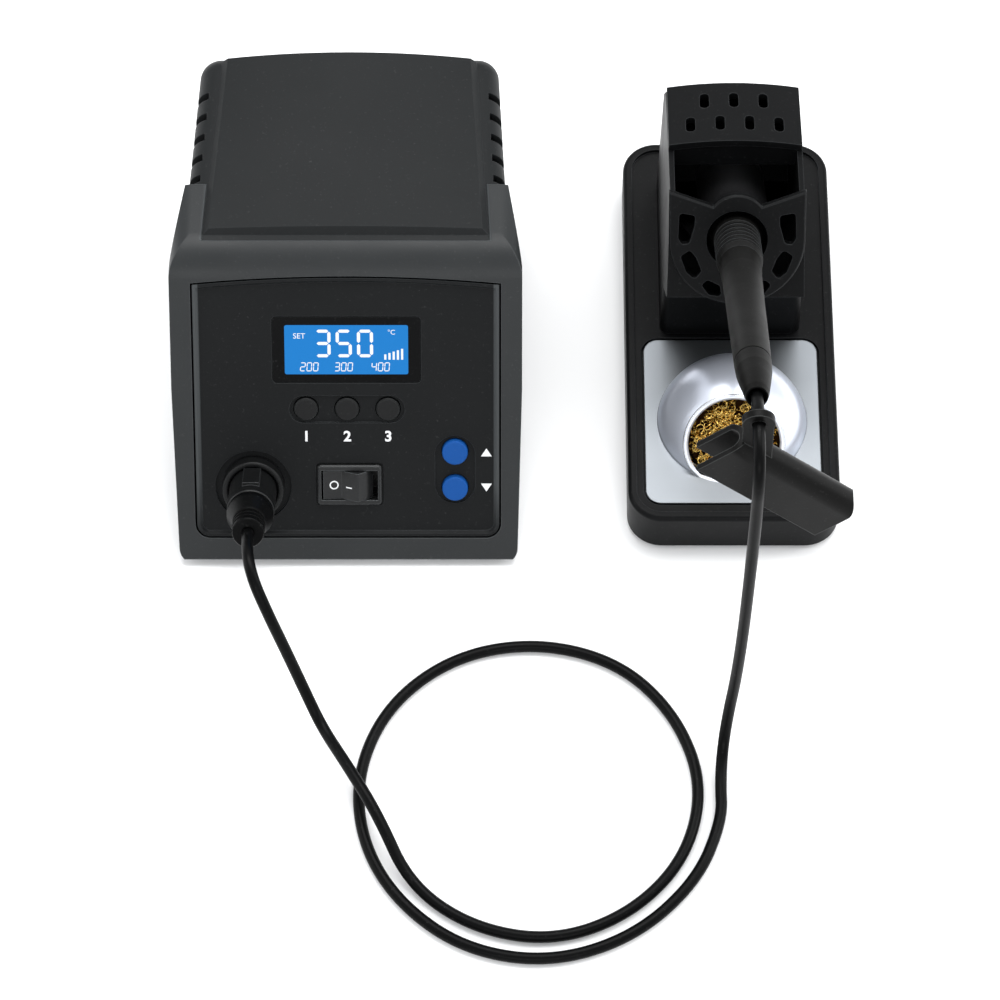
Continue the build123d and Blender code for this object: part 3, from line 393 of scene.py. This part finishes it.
mouldedPlastic("whiteMoulding", (0.6, 0.6, 0.57), 0.5, edge=0.1, edgeHighlight=(0.8, 0.8, 0.8))
mouldedPlastic("coreVarnish", (0.05, 0.05, 0.055), 0.5, edge=0.3)
metalFinish("platedSteel", (0.55, 0.55, 0.56), 0.28)
metalFinish("contactBrass", (0.75, 0.55, 0.22), 0.25)
metalFinish("copperWire", (0.65, 0.28, 0.10), 0.35, brushed=0.8, stretch=(1, 1, 30))
metalFinish("heatsinkMetal", (0.52, 0.53, 0.55), 0.4, brushed=0.4)
metalFinish("sleeveMetal", (0.035, 0.035, 0.037), 0.5, brushed=0.5)
metalFinish("tipMetal", (0.5, 0.5, 0.48), 0.3)
metalFinish("woolBrass", (1.0, 0.70, 0.20), 0.12, stretch=(1, 1, 1))
# painted shade: the wool body under the curls is coloured near black for the shade in the gaps between
# turnings
metalFinish("woolShade", (0.014, 0.006, 0.002), 0.55, stretch=(1, 1, 1))
metalFinish("beadMetal", (0.88, 0.89, 0.91), 0.22, stretch=(1, 1, 1))
printedInk("whiteInk", (0.80, 0.81, 0.82))
printedInk("displayBlue", (0.013, 0.235, 0.68), glow=0.62)
printedInk("displayWhite", (0.93, 0.96, 1.0), glow=0.75)
makePressedMetal()
print("finishes made")

slotFinish = {
    "housing_plastic": "housing", "frame_plastic": "frameSkin", "panel_plastic": "panelSkin",
    "display_glass": "blackMoulding", "module_plastic": "whiteMoulding", "board": "boardMask",
    "black_plastic": "blackMoulding", "button_black": "buttonBlack", "button_blue": "buttonBlue",
    "rocker_plastic": "rockerSkin", "plated_steel": "platedSteel", "contact_brass": "contactBrass",
    "core_steel": "coreVarnish", "copper_wire": "copperWire", "heatsink_metal": "heatsinkMetal",
    "foot_rubber": "footRubber", "stand_plastic": "standSkin", "tray_metal": "trayMetal",
    "wool_brass": "woolShade", "sleeve_metal": "sleeveMetal", "handle_plastic": "handleSkin",
    "grip_rubber": "gripRubber", "tip_metal": "tipMetal", "heater_ceramic": "whiteMoulding",
    "cord_silicone": "cordRubber", "pad_silicone": "padRubber"}

for row in frame["record"]["subparts"]:
    node = frame["nodes"][row["node"]]
    node.data.materials.clear()
    node.data.materials.append(finishes[slotFinish[row["material_slot"]]])
print("frame painted")

lying = 0.00195
cordFacts = {
    "radius": 0.0019, "sides": 20,
    "route": [
        (-0.0835, -0.07656, 0.04656), (-0.0835, -0.0863, 0.0536), (-0.0815, -0.0970, 0.0528),
        (-0.0765, -0.1050, 0.0435), (-0.0710, -0.1105, 0.0290), (-0.0655, -0.1165, 0.0145),
        (-0.0600, -0.1250, 0.0055), (-0.0520, -0.1406, 0.0099), (-0.0416, -0.1590, 0.0099),
        (-0.0313, -0.1805, lying), (-0.0111, -0.1958, lying), (0.0147, -0.2005, lying),
        (0.0393, -0.1905, lying), (0.0570, -0.1704, lying), (0.0627, -0.1441, lying),
        (0.0545, -0.1186, lying), (0.0365, -0.0989, lying), (0.0099, -0.0911, lying),
        (-0.0172, -0.0963, lying), (-0.0385, -0.1141, lying), (-0.0486, -0.1392, lying),
        (-0.0469, -0.1646, lying), (-0.0351, -0.1866, lying), (-0.0139, -0.2033, lying),
        (0.0135, -0.2080, lying), (0.0400, -0.1988, lying), (0.0600, -0.1791, lying),
        (0.0686, -0.1570, lying), (0.0683, -0.1430, lying + 0.0004), (0.0693, -0.1315, 0.0060),
        (0.0708, -0.1260, 0.0180), (0.0723, -0.1252, 0.0360), (0.0734, -0.1250, 0.0620),
        (0.0740, -0.1250, 0.0900), (0.0744, -0.1250, 0.1160), (0.07465, -0.1250, 0.1380),
        (0.07465, -0.1253, 0.1533), (0.07465, -0.1175, 0.16105), (0.07465, -0.1026, 0.16105),
        (0.07465, -0.09245, 0.15394)]}


def splinePoints(route, steps=12):
    # points along a smooth NURBS line that has the route as its control points
    curve = bpy.data.curves.new("cordLine", "CURVE")
    curve.dimensions = "3D"
    curve.resolution_u = steps
    curve.render_resolution_u = steps
    spline = curve.splines.new("NURBS")
    spline.points.add(len(route) - 1)
    spline.points.foreach_set("co", np.hstack([np.asarray(route), np.ones((len(route), 1))]).ravel())
    spline.order_u = 3
    spline.use_endpoint_u = True
    line = bpy.data.objects.new("cordLine", curve)
    bpy.context.scene.collection.objects.link(line)
    mesh = bpy.data.meshes.new_from_object(line)
    points = np.zeros(len(mesh.vertices) * 3)
    mesh.vertices.foreach_get("co", points)
    bpy.data.objects.remove(line)
    bpy.data.meshes.remove(mesh)
    return points.reshape(-1, 3)


def frameAlong(points):
    # unit tangents, and a pair of side vectors carried along without twist
    tangent = np.gradient(points, axis=0)
    tangent /= np.linalg.norm(tangent, axis=1, keepdims=True)
    side = np.zeros_like(points)
    current = np.cross(tangent[0], [0.0, 0.0, 1.0])
    current /= np.linalg.norm(current)
    for i, t in enumerate(tangent):
        current = current - t * np.dot(current, t)
        current /= np.linalg.norm(current)
        side[i] = current
    return tangent, side, np.cross(tangent, side)


def sweepTube(name, points, radius, sides, materialName):
    # point(s, a) = line(s) + radius(s) * (cos a * side + sin a * other side), closed by a fan at each end
    tangent, side, other = frameAlong(points)
    angle = np.linspace(0, 2 * math.pi, sides, endpoint=False)
    ring = np.broadcast_to(np.asarray(radius, float), (len(points),))[:, None, None]
    around = np.cos(angle)[None, :, None] * side[:, None] + np.sin(angle)[None, :, None] * other[:, None]
    skin = (points[:, None] + ring * around).reshape(-1, 3)
    faces = [list(f)[::-1] for f in gridFaces(len(points), sides, wrapCols=True)]
    last = (len(points) - 1) * sides
    faces.append(list(range(sides)))
    faces.append(list(range(last + sides - 1, last - 1, -1)))
    return makePiece(name, skin, faces, materialName)


def makeCord():
    line = splinePoints(cordFacts["route"])[::-1]
    cord = sweepTube("ironCordSkin", line, cordFacts["radius"], cordFacts["sides"], "cordRubber")
    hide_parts("iron_cord")
    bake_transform(cord)


makeCord()
print("cord laid")

display = {"height": 0.0657, "recess": (0.0482, 0.0228), "view": (0.0402, 0.0170), "glass": -0.0013}


def roundedOutline(width, height, corner, steps=6):
    # four quarter circles joined by straight sides, anticlockwise
    angle = np.linspace(0, math.pi / 2, steps)
    quarter = np.stack([np.cos(angle), np.sin(angle)], 1) * corner
    parts = []
    for turn, (sx, sy) in enumerate(((1, 1), (-1, 1), (-1, -1), (1, -1))):
        c, s = math.cos(turn * math.pi / 2), math.sin(turn * math.pi / 2)
        spun = quarter @ np.array([[c, s], [-s, c]])
        parts.append(spun + [sx * (width / 2 - corner), sy * (height / 2 - corner)])
    return np.vstack(parts)


def plateFrom(outlines, low, high):
    # each outline becomes a thin closed plate between two heights
    points, faces, count = [], [], 0
    for outline in outlines:
        n = len(outline)
        for z in (low, high):
            points.append(np.column_stack([outline, np.full(n, z)]))
        faces.append(list(range(count + n, count + 2 * n)))
        faces.append(list(range(count + n - 1, count - 1, -1)))
        faces += [[count + i, count + (i + 1) % n, count + n + (i + 1) % n, count + n + i] for i in range(n)]
        count += 2 * n
    return np.vstack(points), faces


def segmentDigit(digit, x, y, width, height, thick, slant=0.0):
    # seven-segment numeral from six-cornered bars
    lit = {"0": "abcdef", "2": "abged", "3": "abgcd", "4": "fgbc", "5": "afgcd"}[digit]
    w, h, t = width / 2, height / 2, thick / 2
    spots = {"a": (0, h, 0), "g": (0, 0, 0), "d": (0, -h, 0), "b": (w, h / 2, 1), "c": (w, -h / 2, 1),
             "f": (-w, h / 2, 1), "e": (-w, -h / 2, 1)}
    bars = []
    for key in lit:
        cx, cy, upright = spots[key]
        reach = (h / 2 if upright else w) - t * 0.35
        flat = reach - t
        bar = np.array([(-reach, 0), (-flat, -t), (flat, -t), (reach, 0), (flat, t), (-flat, t)])
        if upright:
            bar = np.column_stack([-bar[:, 1], bar[:, 0]])
        bar = bar + [cx, cy]
        bar[:, 0] += slant * bar[:, 1]
        bars.append(bar + [x, y])
    return bars


def textOutline(text, x, y, z, size, materialName, name, heavy=0.0):
    # a word made into a thin closed mesh, then carried to its place
    curve = bpy.data.curves.new(name, "FONT")
    curve.body = text
    curve.size = size
    curve.align_x = "CENTER"
    curve.align_y = "CENTER"
    curve.extrude = 0.00002
    curve.offset = heavy
    holder = bpy.data.objects.new(name, curve)
    bpy.context.scene.collection.objects.link(holder)
    bpy.context.view_layer.update()
    mesh = bpy.data.meshes.new_from_object(holder)
    bpy.data.objects.remove(holder)
    points = np.zeros(len(mesh.vertices) * 3)
    mesh.vertices.foreach_get("co", points)
    points = onPanel(points.reshape(-1, 3) + [x, y, z])
    mesh.vertices.foreach_set("co", points.ravel())
    mesh.update()
    mesh.materials.clear()
    mesh.materials.append(finishes[materialName])
    piece = bpy.data.objects.new(name, mesh)
    bpy.context.scene.collection.objects.link(piece)
    return piece


def makeDisplay():
    y, glass = display["height"], display["glass"]
    outline = roundedOutline(*display["recess"], 0.0013) + [0, y]
    points, faces = plateFrom([outline], glass - 0.0008, glass)
    border = makePiece("displayBorder", onPanel(points), faces, "displayBezel", smooth=False)
    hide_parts("lcd_window")
    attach(border, "root")
    outline = roundedOutline(*display["view"], 0.0007) + [0, y]
    points, faces = plateFrom([outline], glass - 0.0001, glass + 0.00006)
    lit = makePiece("displayField", onPanel(points), faces, "displayBlue", smooth=False)
    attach(lit, "root")
    bars = []
    for i, digit in enumerate("350"):
        bars += segmentDigit(digit, -0.0077 + i * 0.0069, y + 0.0022, 0.0042, 0.0085, 0.00105)
    for word, middle in (("200", -0.0121), ("300", -0.0009), ("400", 0.0111)):
        for i, digit in enumerate(word):
            bars += segmentDigit(digit, middle + (i - 1) * 0.0021, y - 0.0059, 0.00145, 0.0028, 0.0003, 0.08)
    for i in range(5):
        x, tall = 0.0123 + i * 0.00137, 0.0018 + i * 0.00048
        low, right = y - 0.0034, x + 0.0007
        bars.append(np.array([(x, low), (right, low), (right, low + tall), (x, low + tall)]))
    points, faces = plateFrom(bars, glass + 0.00005, glass + 0.00012)
    segments = makePiece("displaySegments", onPanel(points), faces, "displayWhite", smooth=False)
    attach(segments, "root")
    for text, x, dy, size, name in (("SET", -0.0153, 0.0047, 0.0026, "displaySet"),
                                    ("°C", 0.0147, 0.0060, 0.0023, "displayUnit")):
        word = textOutline(text, x, y + dy, glass + 0.00009, size, "displayWhite", name)
        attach(word, "root")


makeDisplay()
print("display lit")


def makeLabels():
    face = panel["face"] + 0.00002
    for i, text in enumerate("123"):
        name = "presetNumber" + text
        label = textOutline(text, (i - 1) * 0.0134, 0.0354, face, 0.0050, "whiteInk", name, 0.00014)
        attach(label, "root")
    arrows = [np.array([(-0.0018, -0.0013), (0.0018, -0.0013), (0, 0.0015)]) + [0.0455, 0.0298],
              np.array([(0.0018, 0.0013), (-0.0018, 0.0013), (0, -0.0015)]) + [0.0455, 0.0176]]
    points, faces = plateFrom(arrows, face - 0.00002, face + 0.00003)
    printed = makePiece("stepArrows", onPanel(points), faces, "whiteInk", smooth=False)
    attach(printed, "root")


makeLabels()

rocker = {"x": 0.0006, "y": 0.0187}


def ringBand(outer, inner, steps=36):
    # flat ring between two radii, as a closed thin band
    angle = np.linspace(0, 2 * math.pi, steps, endpoint=False)
    circle = np.column_stack([np.cos(angle), np.sin(angle)])
    thin = 0.00004
    rows = [(outer, 0), (outer, thin), (inner, thin), (inner, 0)]
    points = np.vstack([np.column_stack([circle * r, np.full(steps, z)]) for r, z in rows])
    return points, [list(f) for f in gridFaces(4, steps, wrapRows=True, wrapCols=True)]


def makeRockerMarks():
    points, faces = ringBand(0.00150, 0.00108)
    tilt = math.atan2(-0.0004, 0.0061)
    x, z = points[:, 0] * math.cos(tilt), points[:, 2] + points[:, 0] * math.sin(tilt)
    ring = np.column_stack([x + rocker["x"] - 0.0051, points[:, 1] + rocker["y"], z - 0.00031])
    off = makePiece("rockerOffMark", onPanel(ring), faces, "whiteInk", smooth=False)
    dash = np.array([(-0.0011, -0.0002), (0.0011, -0.0002), (0.0011, 0.0002), (-0.0011, 0.0002)])
    points, faces = plateFrom([dash], 0.0, 0.00004)
    tilt = math.atan2(0.0031, 0.0055)
    x = points[:, 0] * math.cos(tilt) - points[:, 2] * math.sin(tilt)
    z = points[:, 0] * math.sin(tilt) + points[:, 2] * math.cos(tilt)
    bar = np.column_stack([x + rocker["x"] - 0.0002, points[:, 1] + rocker["y"] - 0.0005, z + 0.00088])
    on = makePiece("rockerOnMark", onPanel(bar), faces, "whiteInk", smooth=False)
    for mark in (off, on):
        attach(mark, "rocker")


makeRockerMarks()

endWall = {"across": (0.0552, 0.0941), "deep": (0.0802, 0.0817), "tall": (0.0375, 0.0735), "bevel": 0.0003}


def makeEndWall():
    # dark plate that closes the tunnel behind the iron's tip
    (x0, x1), (y0, y1), (z0, z1) = endWall["across"], endWall["deep"], endWall["tall"]
    points = [(x, y, z) for x in (x0, x1) for y in (y0, y1) for z in (z0, z1)]
    faces = [(0, 1, 3, 2), (4, 6, 7, 5), (0, 4, 5, 1), (2, 3, 7, 6), (0, 2, 6, 4), (1, 5, 7, 3)]
    wall = makePiece("tunnelEndWall", points, faces, "standSkin", smooth=False)
    addBevel(wall, endWall["bevel"])
    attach(wall, "root")


makeEndWall()

mouth = {"centre": (0.07465, -0.0288, 0.0249), "normal": (0.0, -0.731, 0.682), "radius": 0.0164,
         "bead": 0.00055}
curls = {"count": 640, "steps": 20, "width": 0.00042, "thick": 0.00008, "spread": 0.0138, "seed": 7}


def mouthAxes():
    normal = np.array(mouth["normal"])
    normal /= np.linalg.norm(normal)
    return np.array([1.0, 0, 0]), np.cross(normal, [1.0, 0, 0]), normal


def makeMouthBead():
    # rolled edge of the dome's mouth: a ring of round section along the mouth's circle
    across, up, normal = mouthAxes()
    around = np.linspace(0, 2 * math.pi, 96, endpoint=False)
    section = np.linspace(0, 2 * math.pi, 12, endpoint=False)
    spoke = np.cos(around)[:, None] * across + np.sin(around)[:, None] * up
    r = mouth["radius"] + mouth["bead"] * np.cos(section)
    points = np.array(mouth["centre"]) + spoke[:, None] * r[None, :, None] \
        + normal * (mouth["bead"] * np.sin(section))[None, :, None]
    faces = [list(f)[::-1] for f in gridFaces(96, 12, wrapRows=True, wrapCols=True)]
    bead = makePiece("mouthBead", points.reshape(-1, 3), faces, "beadMetal")
    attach(bead, "tray")


def makeCurls():
    # each turning is a short helix of flat strip in its own axes:
    # centre + r (cos a * u + sin a * v) + rise * a * w
    rng = np.random.default_rng(curls["seed"])
    n, m = curls["count"], curls["steps"]
    across, up, normal = mouthAxes()
    spread = np.sqrt(rng.random(n)) * curls["spread"]
    turn = rng.random(n) * 2 * math.pi
    depth = -0.0042 + 0.0030 * rng.random(n) - 0.0008 * (spread / curls["spread"]) ** 2
    centre = np.array(mouth["centre"]) + np.outer(spread * np.cos(turn), across) \
        + np.outer(spread * np.sin(turn), up) + np.outer(depth, normal)
    w = rng.normal(size=(n, 3))
    w /= np.linalg.norm(w, axis=1, keepdims=True)
    u = np.cross(w, rng.normal(size=(n, 3)))
    u /= np.linalg.norm(u, axis=1, keepdims=True)
    v = np.cross(w, u)
    radius = 0.0005 + 0.0010 * rng.random(n)
    a = np.linspace(0, 1, m)[None] * (1.5 + 4.5 * rng.random(n))[:, None] * math.pi / 1.4
    rise = (0.00015 + 0.0003 * rng.random(n))[:, None] * a
    out = np.cos(a)[..., None] * u[:, None] + np.sin(a)[..., None] * v[:, None]
    line = centre[:, None] + radius[:, None, None] * out + rise[..., None] * w[:, None]
    half, thin = curls["width"] / 2, curls["thick"] / 2
    corners = np.array([(-half, -thin), (half, -thin), (half, thin), (-half, thin)])
    skin = line[:, :, None] + corners[None, None, :, 0, None] * w[:, None, None] \
        + corners[None, None, :, 1, None] * out[:, :, None]
    quads = gridFaces(m, 4, wrapCols=True)
    faces = (quads[None] + (np.arange(n) * m * 4)[:, None, None]).reshape(-1, 4)
    start = np.arange(n)[:, None] * m * 4
    caps = np.vstack([start + [3, 2, 1, 0], start + (m - 1) * 4 + [0, 1, 2, 3]])
    faces = np.vstack([faces[:, ::-1], caps[:, ::-1]])
    wool = makePiece("woolTurnings", skin.reshape(-1, 3), faces, "woolBrass")
    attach(wool, "root")


makeMouthBead()
makeCurls()
print("cleaner filled")

studio = {"floor": (0.985, 0.985, 0.985), "world": 0.86}


def makeStudio():
    tree, shader, coordinates = startMaterial("paleFloor")
    paper = addNoise(tree, coordinates.outputs["Object"], 4.0, 2.0, 0.5)
    pale = mixColors(tree, paper, (0.97, 0.97, 0.97, 1), (*studio["floor"], 1))
    tree.links.new(pale, shader.inputs["Base Color"])
    shader.inputs["Roughness"].default_value = 0.9
    shader.inputs["Specular IOR Level"].default_value = 0.1
    floor = makePiece("floor", [(-6, -6, 0), (6, -6, 0), (6, 6, 0), (-6, 6, 0)], [(0, 1, 2, 3)], "paleFloor")
    world = bpy.data.worlds.new("studio")
    bpy.context.scene.world = world
    world.use_nodes = True
    world.node_tree.nodes["Background"].inputs[0].default_value = (0.96, 0.98, 1.0, 1)
    world.node_tree.nodes["Background"].inputs[1].default_value = studio["world"]
    for name, spot, size, power, aim in (
            ("overhead", (0.1, 0.5, 1.5), (1.4, 0.9), 22, (0, 0, 0.05)),
            ("leftWall", (-1.4, 0.1, 0.7), (0.7, 1.2), 5, (0, 0, 0.05)),
            ("rightWall", (1.4, 0.2, 0.8), (0.6, 1.0), 10, (0, 0, 0.05)),
            ("frontFill", (0.0, -1.6, 1.0), (1.4, 0.5), 8, (0, 0, 0.04))):
        data = bpy.data.lights.new(name, "AREA")
        data.shape = "RECTANGLE"
        data.size, data.size_y = size
        data.energy = power
        lamp = bpy.data.objects.new(name, data)
        lamp.location = spot
        away = np.array(spot) - np.array(aim)
        yaw = math.atan2(away[0], -away[1])
        pitch = math.atan2(math.hypot(away[0], away[1]), away[2])
        lamp.rotation_euler = (pitch, 0, yaw)
        bpy.context.scene.collection.objects.link(lamp)
    bpy.context.scene.view_settings.view_transform = "Standard"


makeStudio()
print("studio lit")
